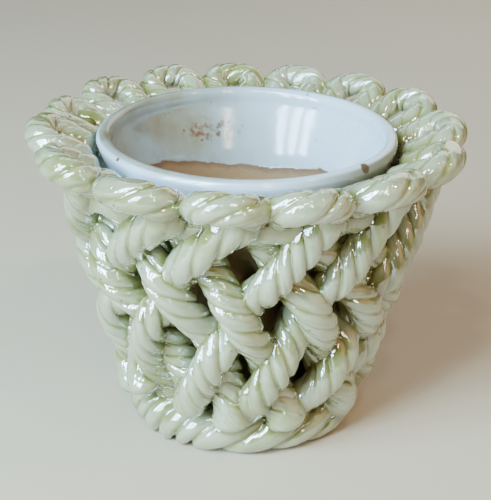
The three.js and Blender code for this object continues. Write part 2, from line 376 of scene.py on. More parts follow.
WOVEN_COUNT = 13
WOVEN_RADIUS = 0.0072
WALL_FOOT_RADIUS = 0.0384
WALL_SLOPE = 0.275
WEAVE_DEPTH = 0.005
WEAVE_FULLNESS = 0.3
CROSSING_HEIGHT = 0.070
CROSSING_SPACING = 0.0231
FIRST_ROPE_ANGLE = -2.0
RIGHT_FOOT_HEIGHT = 0.013
LEFT_FOOT_HEIGHT = 0.011
RIGHT_TOP_HEIGHT = 0.119
LEFT_TOP_HEIGHT = 0.110
WOVEN_STRANDS = 4
WOVEN_TURNS = 3.3
WOVEN_TURNS_VARY = 0.08
WOVEN_TWIST_UNEVEN = 0.05
WOVEN_FLUTE = 0.22
WOVEN_FLUTE_VARY = 0.2
RIGHT_ROUNDNESS = 0.85
LEFT_ROUNDNESS = 0.6
WOVEN_SIDES = 56
WOVEN_RINGS = 230

# A leaning coil is about half as long again as it is high. Its ends are rounded and pressed smooth,
# and the left coils swell where they are pressed onto the foot ring.
LENGTH_TO_RISE = 1.5
FOOT_END_ROUNDING = 0.006
TOP_END_ROUNDING = 0.005
SMOOTHED_LENGTH = 0.012
RIGHT_FOOT_FLUTE = 0.25
LEFT_FOOT_FLUTE = 0.0
TOP_FLUTE = 0.35
LEFT_FOOT_SWELL = 0.2
LEFT_SWELL_LENGTH = 0.011

# Degrees by which each coil strays from an even lay at the middle of the wall, per row of crossings
# up the wall, and per row squared.
RIGHT_STRAY = [
    (1.5, -1.2, 0), (0.2, -2.9, 0), (7, -1, 0), (5, 0, -0.5), (2, 1, 0), (-1, 0.5, 0.5), (-2, -1, 0),
    (0, -0.5, 0), (1, 1, 0), (0, 0, -0.5), (-1, 0, 0.5), (-3, 0.5, 2.6), (-4.5, -1.5, 2.2),
]
LEFT_STRAY = [
    (0, 2, -0.6), (0, 0, 0), (-5, -3, 0), (-9, -3, 0), (-6, -1, 0), (-3, 0, 0.5), (-1, 1, 0),
    (1, 0, 0), (0, -1, 0), (2, 0, 0), (4, 0.5, 0), (7, 1, -1), (8, 2.2, -2),
]

# Height above the floor at which the coils at the front end on the foot ring, by their number.
RIGHT_ENDS = {1: 0.0195, 2: 0.017, 3: 0.018, 13: 0.0145}
LEFT_ENDS = {1: 0.013, 11: 0.020, 12: 0.022, 13: 0.0135}

# Rows of crossings are counted from the middle one. The coils swing in and out between the lowest row
# and the last swing. Below the row of KEEPS_FROM, right coil 1 stays outside and left coil 12 inside.
LOWEST_ROW = -3
HIGHEST_ROW = 2
LAST_SWING = 1
KEEPS_FROM = -1
RIGHT_KEEPS_SIDE = 1
LEFT_KEEPS_SIDE = 12


class WovenCoil:
    """The course of one coil of the wall. lean is 1 where it rises to the right and -1 to the left."""

    def __init__(self, index, lean):
        self.index = index
        self.lean = lean
        self.crossings = {}
        number = index + 1
        if lean > 0:
            self.side = "right"
            self.seed = index * 5 + 1
            self.stray = RIGHT_STRAY[index]
            self.low = RIGHT_ENDS.get(number, RIGHT_FOOT_HEIGHT)
            self.high = RIGHT_TOP_HEIGHT
            self.first_swing = KEEPS_FROM if number == RIGHT_KEEPS_SIDE else LOWEST_ROW
            self.roundness = RIGHT_ROUNDNESS
            self.foot_flute = RIGHT_FOOT_FLUTE
            self.foot_swell = 0.0
        else:
            self.side = "left"
            self.seed = index * 5 + 90
            self.stray = LEFT_STRAY[index]
            self.low = LEFT_ENDS.get(number, LEFT_FOOT_HEIGHT)
            self.high = LEFT_TOP_HEIGHT
            self.first_swing = KEEPS_FROM if number == LEFT_KEEPS_SIDE else LOWEST_ROW
            self.roundness = LEFT_ROUNDNESS
            self.foot_flute = LEFT_FOOT_FLUTE
            self.foot_swell = LEFT_FOOT_SWELL

    def angle(self, height):
        row = (height - CROSSING_HEIGHT) / CROSSING_SPACING
        even = FIRST_ROPE_ANGLE + (self.index * 360 + self.lean * row * 180) / WOVEN_COUNT
        return even + self.stray[0] + self.stray[1] * row + self.stray[2] * row * row

    def swing(self, height):
        """How far the coil stands out from the middle of the wall, in over-and-under order."""
        rows = sorted(self.crossings)
        row = np.interp(height, [self.crossings[r] for r in rows], rows)
        swing = np.cos(np.pi * np.clip(row, self.first_swing, LAST_SWING))
        return -self.lean * WEAVE_DEPTH * swing * (1 + WEAVE_FULLNESS - WEAVE_FULLNESS * swing * swing)

    def line(self, along):
        height = self.low + (self.high - self.low) * along
        radius = WALL_FOOT_RADIUS + WALL_SLOPE * height + self.swing(height)
        angle = self.angle(height)
        length = (self.high - self.low) * LENGTH_TO_RISE
        from_foot = along * length
        from_top = (1 - along) * length
        ends = round_end(from_foot, FOOT_END_ROUNDING) * round_end(from_top, TOP_END_ROUNDING)
        swell = 1 + self.foot_swell * np.exp(-((from_foot / LEFT_SWELL_LENGTH) ** 2))
        smooth_foot = np.clip((from_foot - SMOOTHED_LENGTH) / SMOOTHED_LENGTH, self.foot_flute, 1)
        smooth_top = np.clip(from_top / SMOOTHED_LENGTH, TOP_FLUTE, 1)
        own_turns = WOVEN_TURNS * (1 + WOVEN_TURNS_VARY * math.sin(self.seed * 1.7))
        turns = own_turns * along + WOVEN_TWIST_UNEVEN * wander(along, 2, self.seed)
        middle = polar(radius, angle, height)
        return middle, polar(1.0, angle, 0.0), ends * swell, smooth_foot * smooth_top, turns


def crossing_height(right, left, row):
    """The height at which two coils cross, near a row of crossings, found by halving."""
    low = CROSSING_HEIGHT + (row - 0.8) * CROSSING_SPACING
    high = CROSSING_HEIGHT + (row + 0.8) * CROSSING_SPACING
    for _ in range(30):
        middle = (low + high) / 2
        apart = (right.angle(middle) - left.angle(middle) + 180) % 360 - 180
        if apart < 0:
            low = middle
        else:
            high = middle
    return low


right_coils = [WovenCoil(index, 1) for index in range(WOVEN_COUNT)]
left_coils = [WovenCoil(index, -1) for index in range(WOVEN_COUNT)]
for row in range(LOWEST_ROW, HIGHEST_ROW + 1):
    for right in right_coils:
        left = left_coils[(right.index + row) % WOVEN_COUNT]
        right.crossings[row] = left.crossings[row] = crossing_height(right, left, row)

woven_coil = roll_coil("woven_coil", WOVEN_SIDES, WOVEN_RINGS)
for course in right_coils + left_coils:
    node = f"{course.side}_rope_{course.index + 1:02d}"
    own_flute = WOVEN_FLUTE * (1 + WOVEN_FLUTE_VARY * math.sin(course.seed * 2.3))
    rope = lay_coil(woven_coil, node + "_glazed", course.line, WOVEN_RADIUS, course.seed,
                    strands=WOVEN_STRANDS, flute=own_flute, roundness=course.roundness)
    finish_piece(rope, "basket", node)
    basket.append(rope)
bpy.data.objects.remove(woven_coil)

# Rim band
# A plain coil laid round the tops of the woven coils. The crown presses it flat, and it swells out
# between them as smooth lumps.

BAND_RADIUS = 0.069
BAND_HEIGHT = 0.1118
BAND_THICKNESS = 0.0124
BAND_LUMPS = 0.05
BAND_UNEVEN = 0.03
BAND_SIDES = 36
BAND_RINGS = 360


def band_line(along):
    """The band's course, with thirteen lumps in it and a slower unevenness."""
    lumps = BAND_LUMPS * np.sin(2 * np.pi * (WOVEN_COUNT * along + 0.3))
    thickness = 1 + lumps + BAND_UNEVEN * np.sin(2 * np.pi * (5 * along))
    middle = polar(BAND_RADIUS, along * 360, BAND_HEIGHT)
    return middle, polar(1.0, along * 360, 0.0), thickness, 0 * along, 0 * along


band_coil = roll_coil("band_coil", BAND_SIDES, BAND_RINGS)
band = lay_coil(band_coil, "rim_band_glazed", band_line, BAND_THICKNESS / 2, seed=21)
join_ring(band)
finish_piece(band, "basket", "rim_band")
basket.append(band)
bpy.data.objects.remove(band_coil)

# Crown of loops
# Fifteen short twisted coils, each bent into a hairpin and laid on the band so that it leans far out.
# The legs end beside the lip of the inner pot.

LOOP_ANGLES = [-5, 17, 42, 67.5, 95, 119.5, 142.5, 164, 185, 206, 230, 252, 272, 300, 330]
LOOP_RADIUS = 0.0066
LEG_THINNING = 0.09
CROWN_RADIUS = 0.0845
CROWN_UNDER = 0.1175
CROWN_RISE = 0.42
LOOP_STRANDS = 3
LOOP_TURNS = 1.8
LOOP_TURNS_VARY = 0.18
LOOP_TWIST_UNEVEN = 0.07
LOOP_FLUTE = 0.21
LOOP_FLUTE_VARY = 0.25
LOOP_ROUNDNESS = 0.6
LOOP_END_ROUNDING = 0.004
SMOOTH_LEG_LENGTH = 0.015
SMOOTH_LEG_FLUTE = 0.2
LOOP_SIDES = 56
LOOP_RINGS = 110

# The loops at the back are rolled thinner than those at the front, and twisted tighter.
LOOP_BACK_THICKNESS = 0.9
LOOP_BACK_TURNS = 2.6

# From the left leg round the tip to the right leg: metres in from the tip, and the share of the room
# on that side of the loop.
LOOP_ROUTE = [
    (0.0205, -0.275), (0.0155, -0.285), (0.0095, -0.298), (0.0042, -0.296), (0.0009, -0.19),
    (0.0, 0.0),
    (0.0009, 0.19), (0.0042, 0.296), (0.0095, 0.298), (0.0155, 0.285), (0.0205, 0.275),
]


def smooth_course(points, places):
    """Places along a smooth curve through points, spaced by its length, and that length."""
    ends = [2 * points[0] - points[1], *points, 2 * points[-1] - points[-2]]
    dense = []
    for p0, p1, p2, p3 in zip(ends, ends[1:], ends[2:], ends[3:]):
        k0, k1, k2 = [math.sqrt(np.linalg.norm(b - a)) for a, b in ((p0, p1), (p1, p2), (p2, p3))]
        leave = (p1 - p0) / k0 - (p2 - p0) / (k0 + k1) + (p2 - p1) / k1
        arrive = (p2 - p1) / k1 - (p3 - p1) / (k1 + k2) + (p3 - p2) / k2
        for t in np.linspace(0, 1, 24, endpoint=False):
            from_p1 = 2 * t ** 3 - 3 * t * t + 1
            from_leave = t ** 3 - 2 * t * t + t
            from_p2 = 3 * t * t - 2 * t ** 3
            from_arrive = t ** 3 - t * t
            dense.append(from_p1 * p1 + from_leave * leave * k1
                         + from_p2 * p2 + from_arrive * arrive * k1)
    dense = np.array(dense + [points[-1]])
    lengths = np.concatenate([[0], np.cumsum(np.linalg.norm(np.diff(dense, axis=0), axis=1))])
    length = lengths[-1]
    inside = np.clip(places, 0, 1)
    course = np.stack([np.interp(inside * length, lengths, dense[:, axis]) for axis in range(3)], axis=1)
    forward = unit(dense[-1] - dense[-2]) * (places > 1)[:, None]
    forward = forward + unit(dense[1] - dense[0]) * (places < 0)[:, None]
    return course + (places - inside)[:, None] * forward * length, length


def loop_line(index):
    """The course of one loop of the crown."""
    count = len(LOOP_ANGLES)
    middle = LOOP_ANGLES[index]
    previous = LOOP_ANGLES[index - 1] - (360 if index == 0 else 0)
    following = LOOP_ANGLES[(index + 1) % count] + (360 if index == count - 1 else 0)
    to_back = (1 - math.cos(math.radians(middle))) / 2
    thinner = (1 - LOOP_BACK_THICKNESS) * to_back
    spacing = (following - previous) * count / (2 * 360)
    fit = min(1, spacing) * (1 - thinner)

    def thickness(along):
        """Full at the tip, and thinner along the legs."""
        leg = np.minimum(1, np.abs(along - 0.5) * 2.4)
        return fit * (1 - LEG_THINNING * leg * leg)

    points = []
    for step, (inward, share) in enumerate(LOOP_ROUTE):
        room = middle - previous if share < 0 else following - middle
        thick = LOOP_RADIUS * float(thickness(np.array(step / (len(LOOP_ROUTE) - 1))))
        raised = thick + 2 * thinner * LOOP_RADIUS
        height = CROWN_UNDER - inward * CROWN_RISE + raised * math.hypot(1, CROWN_RISE)
        points.append(polar(CROWN_RADIUS - inward, np.array(middle + share * room), height))
    own_turns = LOOP_TURNS + (LOOP_BACK_TURNS - LOOP_TURNS) * to_back
    own_turns = own_turns * (1 + LOOP_TURNS_VARY * math.sin(index * 2.1))
    slope_out = polar(CROWN_RISE, np.array(float(middle)), 0.0)
    up = np.array([-slope_out[0], -slope_out[1], 1.0])

    def line(along):
        course, length = smooth_course(points, along)
        ends = round_end(along * length, LOOP_END_ROUNDING)
        ends = ends * round_end((1 - along) * length, LOOP_END_ROUNDING)
        from_end = (0.5 - np.abs(along - 0.5)) * length
        smooth_legs = np.clip(from_end / SMOOTH_LEG_LENGTH, SMOOTH_LEG_FLUTE, 1)
        turns = own_turns * along + LOOP_TWIST_UNEVEN * wander(along, 2, index)
        return course, np.tile(up, (len(along), 1)), thickness(along) * ends, smooth_legs, turns

    return line


loop_coil = roll_coil("loop_coil", LOOP_SIDES, LOOP_RINGS)
for index in range(len(LOOP_ANGLES)):
    node = f"crown_loop_{index + 1:02d}"
    own_flute = LOOP_FLUTE * (1 + LOOP_FLUTE_VARY * math.sin(index * 1.3 + 1))
    loop = lay_coil(loop_coil, node + "_glazed", loop_line(index), LOOP_RADIUS, index * 3 + 200,
                    strands=LOOP_STRANDS, flute=own_flute, roundness=LOOP_ROUNDNESS)
    finish_piece(loop, "basket", node)
    basket.append(loop)
bpy.data.objects.remove(loop_coil)

# Floor slab
# A rolled slab of clay cut to a disc inside the foot ring. The inner pot stands on it, and the glaze
# lies thick in the corner where it meets the ring, with painted shade there.

SLAB_THICKNESS = 0.0085
SLAB_RADIUS = 0.0345
SLAB_SIDES = 96
SLAB_EDGE = 0.002
SLAB_OFF_GROUND = 0.0003
SLAB_POOL = 0.35

bpy.ops.object.select_all(action="DESELECT")
bpy.ops.mesh.primitive_cylinder_add(vertices=SLAB_SIDES, radius=SLAB_RADIUS,
                                    depth=SLAB_THICKNESS - SLAB_OFF_GROUND,
                                    location=(0, 0, SLAB_THICKNESS / 2 + SLAB_OFF_GROUND / 2))
slab = bpy.context.object
slab.name = "floor_slab_glazed"
bpy.ops.object.transform_apply(location=True)
bpy.ops.object.mode_set(mode="EDIT")
bpy.ops.mesh.select_mode(type="FACE")
bpy.ops.mesh.select_all(action="SELECT")
bpy.ops.mesh.bevel(offset=SLAB_EDGE, segments=5, affect="EDGES")
bpy.ops.object.mode_set(mode="OBJECT")
bpy.ops.object.shade_smooth_by_angle(angle=math.radians(40))
slab.data.materials.append(cream_glaze)
add_values(slab.data, "glaze_pool_and_shade", "FLOAT", "value", [SLAB_POOL] * len(slab.data.vertices))
add_values(slab.data, "groove_depth", "FLOAT", "value", [0.0] * len(slab.data.vertices))
finish_piece(slab, "basket", "floor_slab")
basket.append(slab)
slab.select_set(False)

# Glaze over the joints
# The basket was dipped whole, so the glaze runs into each corner between two coils, rounds it off and
# pools there in a thicker, greener layer, darkened further as painted shade. In the crown the corners
# are wider and less green.

WOVEN_JOINT = 0.0036
CROWN_JOINT = 0.0052
# Glaze pooled at the joints, with painted shade in the corners.
WOVEN_POOL_AND_SHADE = 0.88
CROWN_POOL_AND_SHADE = 0.62
POOL_AND_SHADE_FALLOFF = 1.8
GROOVE_FILL = 0.75
GROOVE_FADE = 0.6
SETTLING_ROUNDS = 5
BOX_MARGIN = 0.0001


def settle(field, edge_ends, rounds):
    """Evens out values that sit on a mesh's points, each round by half towards those next to them."""
    first, second = edge_ends.reshape(-1, 2).T
    count = len(field)
    neighbours = np.bincount(edge_ends, minlength=count)
    for _ in range(rounds):
        total = np.bincount(first, field[second], count) + np.bincount(second, field[first], count)
        field = 0.5 * field + 0.5 * total / neighbours
    return field


def corner_lift(distance, width, facing, other_facing):
    """How far the glaze lifts a point at a distance from another surface, beside a corner of a given
    width: a curve that starts flat and grows to a quarter of the width, and that allows for the angle
    between the two surfaces. Their spread is 0 where they face one way and 2 face to face."""
    spread = 1 - sum(facing[axis] * other_facing[axis] for axis in range(3))
    inside = max(0.0, 1 - spread * (width - distance) / width)
    if spread > 0.05:
        into_corner = 2 * width * (1 - math.sqrt(inside)) / spread
    else:
        into_corner = width - distance
    return min(width / 4, into_corner * into_corner / (4 * width))


def run_glaze(pieces):
    """Lifts each surface near another one into a rounded corner, fills its grooves there, and marks
    where the glaze is deep, with painted shade in the corners."""
    graph = bpy.context.evaluated_depsgraph_get()
    reach = {}
    trees = {}
    spots = {}
    for piece in pieces:
        reach[piece] = CROWN_JOINT if piece.name.startswith(("crown", "rim")) else WOVEN_JOINT
        flat = np.empty(len(piece.data.vertices) * 3)
        piece.data.vertices.foreach_get("co", flat)
        spots[piece] = flat.reshape(-1, 3)
        trees[piece] = BVHTree.FromObject(piece, graph)
    for piece in pieces:
        mesh = piece.data
        spot = spots[piece]
        flat = np.empty(len(spot) * 3)
        mesh.vertex_normals.foreach_get("vector", flat)
        normal = flat.reshape(-1, 3)
        lift = np.zeros(len(spot))
        near = np.zeros(len(spot))
        for other in pieces:
            width = max(reach[piece], reach[other])
            low = spots[other].min(axis=0) - width
            high = spots[other].max(axis=0) + width
            if other is piece or np.any(low > spot.max(axis=0)) or np.any(high < spot.min(axis=0)):
                continue
            close = np.nonzero(np.all((spot > low) & (spot < high), axis=1))[0]
            find = trees[other].find_nearest
            for index, point, facing in zip(close.tolist(), spot[close].tolist(), normal[close].tolist()):
                place, face, _, distance = find(point, width)
                if place is None:
                    continue
                outward = sum((point[axis] - place[axis]) * face[axis] for axis in range(3))
                if outward <= 0:
                    near[index] = 1.0
                    lift[index] = width / 4
                    continue
                near[index] = max(near[index], 1 - distance / width)
                lift[index] = max(lift[index], corner_lift(distance, width, facing, face))

        edge_ends = np.empty(len(mesh.edges) * 2, dtype=np.int32)
        mesh.edges.foreach_get("vertices", edge_ends)
        lift = settle(lift, edge_ends, SETTLING_ROUNDS)
        near = settle(near, edge_ends, SETTLING_ROUNDS)
        groove = np.empty(len(spot))
        mesh.attributes["groove_depth"].data.foreach_get("value", groove)
        mesh.attributes.remove(mesh.attributes["groove_depth"])
        lift += GROOVE_FILL * near * groove
        moved = spot + normal * lift[:, None]
        low = np.array(cad_box[0]) + BOX_MARGIN
        high = np.array(cad_box[1]) - BOX_MARGIN
        mesh.vertices.foreach_set("co", np.clip(moved, low, high).ravel())
        pool_and_shade = np.empty(len(spot))
        mesh.attributes["glaze_pool_and_shade"].data.foreach_get("value", pool_and_shade)
        # Near a joint the colour deepens, partly pooled glaze and partly painted shade.
        joint_pool_and_shade = CROWN_POOL_AND_SHADE if reach[piece] == CROWN_JOINT else WOVEN_POOL_AND_SHADE
        pool_and_shade = np.clip(pool_and_shade * (1 - GROOVE_FADE * near) + joint_pool_and_shade * near ** POOL_AND_SHADE_FALLOFF, 0, 1)
        mesh.attributes["glaze_pool_and_shade"].data.foreach_set("value", pool_and_shade)
        mesh.update()


run_glaze(basket)

# Inner pot
# A thrown pot that stands loose in the basket. Its inside and its lip carry a bluish white tin glaze,
# with damp soil stains and painted shade down the left of the inside and painted shade on the right
# of the outside. The outside below the lip is bare ochre clay, darkened as painted shade.

TIN_WHITE = "#aebfc8"
TIN_STAIN_AND_SHADE = "#716d50"
RUST_SPOT = "#5f3716"
SOIL_BROWN = "#83653f"
SOIL_EDGE = "#5d3c26"
BARE_CLAY_DARKENED_AS_SHADE = "#7d6234"
CHIP_CLAY = "#4c3b22"

# Pattern cells per metre: stains are 26 mm across, the waves of ragged edges 11 mm, ripples in the
# glaze 8 mm, the cells of which one in ten holds a speck 7 mm, rust spots 3 mm and grit 1 mm.
STAIN_SCALE = 38.0
RAGGED_SCALE = 90.0
TIN_RIPPLE_SCALE = 120.0
TIN_SPECK_SCALE = 150.0
RUST_SCALE = 290.0
GRIT_SCALE = 900.0

POT_BASE = 0.0088
POT_FLOOR = 0.006
POT_WALL = 0.005
POT_CORNER = 0.004
POT_CLEARANCE = 0.0012
POT_NECK_HEIGHT = 0.100
POT_STEPS = 216
LIP_RADIUS = 0.0616
LIP_HEIGHT = 0.1262
LIP_THICKNESS = 0.006
LIP_UNDERCUT = 0.0008
BARE_BELOW = 0.1035
SOIL_LINE = 0.0988
SOIL_DIP = 0.0058
RUST_AT = (-0.017, 0.048, 0.1085)

# How far the wheel left the pot out of round, in two slow waves, and its throwing ridges, 4.2 mm
# apart, which is 1500 radians to the metre.
OVAL = 0.00018
FIVE_SIDED = 0.0001
THROWING_RIDGE = 0.00012
THROWING_WAVE = 1500

# Each chip in the lip: where it is, and its size against one that reaches 1.7 mm from there.
CHIPS = [((0.0451, -0.0406, 0.1250), 1.35), ((-0.0502, -0.0350, 0.1250), 0.5)]


def outer_face(height):
    """The radius of the pot's outside, which stays clear of the woven coils."""
    return WALL_FOOT_RADIUS + WALL_SLOPE * height - WEAVE_DEPTH - WOVEN_RADIUS - POT_CLEARANCE


def arc(centre, radius, start, end, steps):
    """Points of an arc in the pot's section, between two angles in degrees."""
    turns = np.radians(np.linspace(start, end, steps))
    return [(centre[0] + radius * math.cos(t), centre[1] + radius * math.sin(t)) for t in turns]


def straight(start, end, steps):
    return [tuple(p) for p in np.linspace(start, end, steps + 1)[1:]]


bead = LIP_THICKNESS / 2
lip_under = LIP_HEIGHT - LIP_THICKNESS
foot_out = outer_face(POT_BASE)
neck_out = outer_face(POT_NECK_HEIGHT)
inner_floor = POT_BASE + POT_FLOOR
floor_out = outer_face(inner_floor) - POT_WALL + 0.001
section = [(0.0, POT_BASE)] + straight((0.0, POT_BASE), (foot_out - POT_CORNER, POT_BASE), 6)
section += arc((foot_out - POT_CORNER, POT_BASE + POT_CORNER), POT_CORNER, -85, -15, 8)
section += straight(section[-1], (neck_out, POT_NECK_HEIGHT), 26)
section += straight(section[-1], (LIP_RADIUS - LIP_UNDERCUT, lip_under), 8)
section += arc((LIP_RADIUS - bead, LIP_HEIGHT - bead), bead, -5, 160, 18)
section += straight(section[-1], (LIP_RADIUS - LIP_THICKNESS, lip_under - 0.001), 3)
section += straight(section[-1], (neck_out - POT_WALL, POT_NECK_HEIGHT), 10)
section += straight(section[-1], (floor_out, inner_floor + POT_CORNER), 34)
section += straight(section[-1], (foot_out - POT_WALL - POT_CORNER, inner_floor), 5)
section += straight(section[-1], (0.0, inner_floor), 8)

bpy.ops.object.select_all(action="DESELECT")
bpy.ops.mesh.primitive_plane_add(size=0.01)
pot = bpy.context.object
pot.name = "liner_pot_glazed"
pot.data.clear_geometry()
section_edges = [(i, i + 1) for i in range(len(section) - 1)]
pot.data.from_pydata([(r, 0.0, z) for r, z in section], section_edges, [])
bpy.ops.object.mode_set(mode="EDIT")
bpy.ops.mesh.select_all(action="SELECT")
bpy.ops.mesh.spin(steps=POT_STEPS, angle=2 * math.pi, center=(0, 0, 0), axis=(0, 0, 1),
                  use_auto_merge=True)
bpy.ops.mesh.select_all(action="SELECT")
bpy.ops.mesh.remove_doubles(threshold=0.000005)
bpy.ops.mesh.normals_make_consistent(inside=False)
bpy.ops.object.mode_set(mode="OBJECT")
flat = np.empty(len(pot.data.vertices) * 3)
pot.data.vertices.foreach_get("co", flat)
spot = flat.reshape(-1, 3)
turn = np.arctan2(spot[:, 0], -spot[:, 1])
out = np.hypot(spot[:, 0], spot[:, 1])
out_of_round = OVAL * np.sin(2 * turn + 0.6) + FIVE_SIDED * np.sin(5 * turn + 2.0)
throwing = THROWING_RIDGE * np.sin(spot[:, 2] * THROWING_WAVE + turn) * (out > 0.02)
stretch = 1 + np.where(out > 0.001, (out_of_round + throwing) / np.maximum(out, 0.001), 0)
spot[:, 0] *= stretch
spot[:, 1] *= stretch
pot.data.vertices.foreach_set("co", spot.ravel())
pot.data.update()
bpy.ops.object.shade_smooth()
finish_piece(pot, "pot", "liner_pot")
pot.select_set(False)


def make_tin_glaze():
    """Opaque tin glaze over ochre earthenware: smooth, hard and bluish white, with soil left inside."""
    material, tree, output = bare_material("tin_glaze_over_ochre_clay")
    place = add_node(tree, "TexCoord").outputs["Object"]
    parts = add_node(tree, "SeparateXYZ", links={"Vector": place}).outputs
    flat_place = add_node(tree, "Mapping", values={"Scale": (1.0, 1.0, 0.0)}, links={"Vector": place})
    out = add_node(tree, "VectorMath", {"operation": "LENGTH"}, links={0: flat_place}).outputs["Value"]

    # How far a point is inside the wall: its radius against the middle of the wall at its height.
    middle = add_node(tree, "Math", {"operation": "MULTIPLY_ADD"},
                      {1: WALL_SLOPE, 2: outer_face(0.0) - POT_WALL / 2}, {0: parts["Z"]})
    neck = add_node(tree, "MapRange",
                    values={"From Min": POT_NECK_HEIGHT, "From Max": lip_under, "To Min": 0.0,
                            "To Max": LIP_RADIUS - outer_face(lip_under)}, links={"Value": parts["Z"]})
    wall = add_node(tree, "Math", {"operation": "ADD"}, links={0: middle, 1: neck})
    inward = add_node(tree, "Math", {"operation": "SUBTRACT"}, links={0: wall, 1: out})
    inside = add_node(tree, "MapRange", values={"From Min": -0.0005, "From Max": 0.0005},
                      links={"Value": inward})
    outside = add_node(tree, "Math", {"operation": "SUBTRACT"}, {0: 1.0}, {1: inside})

    # Beige patches down the left of the inside, partly damp stains and partly painted shade on the side
    # turned from the light, and a duller right side outside, which is painted shade.
    ragged = add_node(tree, "TexNoise", values={"Scale": RAGGED_SCALE, "Detail": 5.0, "Roughness": 0.6},
                      links={"Vector": place})
    patches = add_node(tree, "TexNoise", values={"Scale": STAIN_SCALE, "Detail": 4.0, "Roughness": 0.62},
                       links={"Vector": place})
    stain = add_node(tree, "MapRange", values={"From Min": 0.4, "From Max": 0.66, "To Min": 0.7},
                     links={"Value": patches})
    shade_leftward = add_node(tree, "MapRange", values={"From Min": 0.034, "From Max": -0.03},
                        links={"Value": parts["X"]})
    stain_and_shade_left = add_node(tree, "Math", {"operation": "MULTIPLY"}, links={0: shade_leftward, 1: stain})
    shade_rightward = add_node(tree, "MapRange", values={"From Min": 0.012, "From Max": 0.045, "To Max": 0.85},
                         links={"Value": parts["X"]})
    painted_shade_right = add_node(tree, "Math", {"operation": "MULTIPLY"}, links={0: shade_rightward, 1: outside})
    stain_and_shade_share = add_node(tree, "Math", {"operation": "MULTIPLY_ADD"},
                           links={0: stain_and_shade_left, 1: inside, 2: painted_shade_right})
    stain_and_shade_mix = add_node(tree, "Mix", {"data_type": "RGBA"},
                       {6: linear(TIN_WHITE), 7: linear(TIN_STAIN_AND_SHADE)}, {0: stain_and_shade_share})

    # A band of rusty spots at the back, 20 mm to each side and 6 mm up and down.
    rust_place = add_node(tree, "VectorMath", {"operation": "SUBTRACT"}, {1: RUST_AT}, {0: place})
    rust_flat = add_node(tree, "VectorMath", {"operation": "MULTIPLY"},
                         {1: (50.0, 50.0, 160.0)}, {0: rust_place})
    rust_far = add_node(tree, "VectorMath", {"operation": "LENGTH"}, links={0: rust_flat})
    rust_here = add_node(tree, "MapRange", values={"From Min": 1.0, "From Max": 0.2, "To Max": 0.27},
                         links={"Value": rust_far.outputs["Value"]})
    blotch = add_node(tree, "TexNoise", values={"Scale": RUST_SCALE, "Detail": 2.0},
                      links={"Vector": place})
    rusty = add_node(tree, "Math", {"operation": "ADD"}, links={0: blotch, 1: rust_here})
    rust_share = add_node(tree, "MapRange", values={"From Min": 0.68, "From Max": 0.84, "To Max": 0.85},
                          links={"Value": rusty})
    rust_inside = add_node(tree, "Math", {"operation": "MULTIPLY"}, links={0: rust_share, 1: inside})
    glaze = add_node(tree, "Mix", {"data_type": "RGBA"}, {7: linear(RUST_SPOT)},
                     {0: rust_inside, 6: stain_and_shade_mix.outputs[2]})

    # Dried soil below an uneven tide line, which falls to the right and at the back, darker at its edge.
    tide = add_node(tree, "Math", {"operation": "MULTIPLY_ADD"},
                    {1: 0.006, 2: SOIL_LINE - 0.003}, {0: ragged})
    tilt = add_node(tree, "Math", {"operation": "MULTIPLY_ADD"}, {1: -0.05}, {0: parts["X"], 2: tide})
    dip = add_node(tree, "MapRange", {"interpolation_type": "SMOOTHSTEP"},
                   {"From Min": 0.03, "From Max": 0.05, "To Max": SOIL_DIP}, {"Value": parts["Y"]})
    soil_top = add_node(tree, "Math", {"operation": "SUBTRACT"}, links={0: tilt, 1: dip})
    under = add_node(tree, "Math", {"operation": "SUBTRACT"}, links={0: soil_top, 1: parts["Z"]})
    soiled = add_node(tree, "MapRange", values={"From Min": -0.0003, "From Max": 0.0004},
                      links={"Value": under})
    soil_here = add_node(tree, "Math", {"operation": "MULTIPLY"}, links={0: soiled, 1: inside})
    edge = add_node(tree, "MapRange", values={"From Min": 0.0, "From Max": 0.0035},
                    links={"Value": under})
    soil = add_node(tree, "Mix", {"data_type": "RGBA"},
                    {6: linear(SOIL_EDGE), 7: linear(SOIL_BROWN)}, {0: edge})
    with_soil = add_node(tree, "Mix", {"data_type": "RGBA"},
                         links={0: soil_here, 6: glaze.outputs[2], 7: soil.outputs[2]})

    # Bare clay outside below the lip, its ochre darkened as painted shade for the inside of the basket.
    glaze_edge = add_node(tree, "Math", {"operation": "MULTIPLY_ADD"},
                          {1: 0.005, 2: BARE_BELOW}, {0: ragged})
    below = add_node(tree, "Math", {"operation": "LESS_THAN"}, links={0: parts["Z"], 1: glaze_edge})
    bare = add_node(tree, "Math", {"operation": "MULTIPLY"}, links={0: below, 1: outside})
    clay = add_node(tree, "Mix", {"data_type": "RGBA"}, {7: linear(BARE_CLAY_DARKENED_AS_SHADE)},
                    {0: bare, 6: with_soil.outputs[2]})

    # Two chips in the lip.
    chip_edge = add_node(tree, "Math", {"operation": "MULTIPLY_ADD"}, {1: 0.0022, 2: 0.0006}, {0: ragged})
    chipped = None
    for chip_place, size in CHIPS:
        from_chip = add_node(tree, "VectorMath", {"operation": "DISTANCE"}, {1: chip_place}, {0: place})
        scaled = add_node(tree, "Math", {"operation": "DIVIDE"}, {1: size},
                          {0: from_chip.outputs["Value"]})
        chip = add_node(tree, "Math", {"operation": "LESS_THAN"}, links={0: scaled, 1: chip_edge})
        if chipped:
            chip = add_node(tree, "Math", {"operation": "MAXIMUM"}, links={0: chip, 1: chipped})
        chipped = chip
    colour = add_node(tree, "Mix", {"data_type": "RGBA"}, {7: linear(CHIP_CLAY)},
                      {0: chipped, 6: clay.outputs[2]})

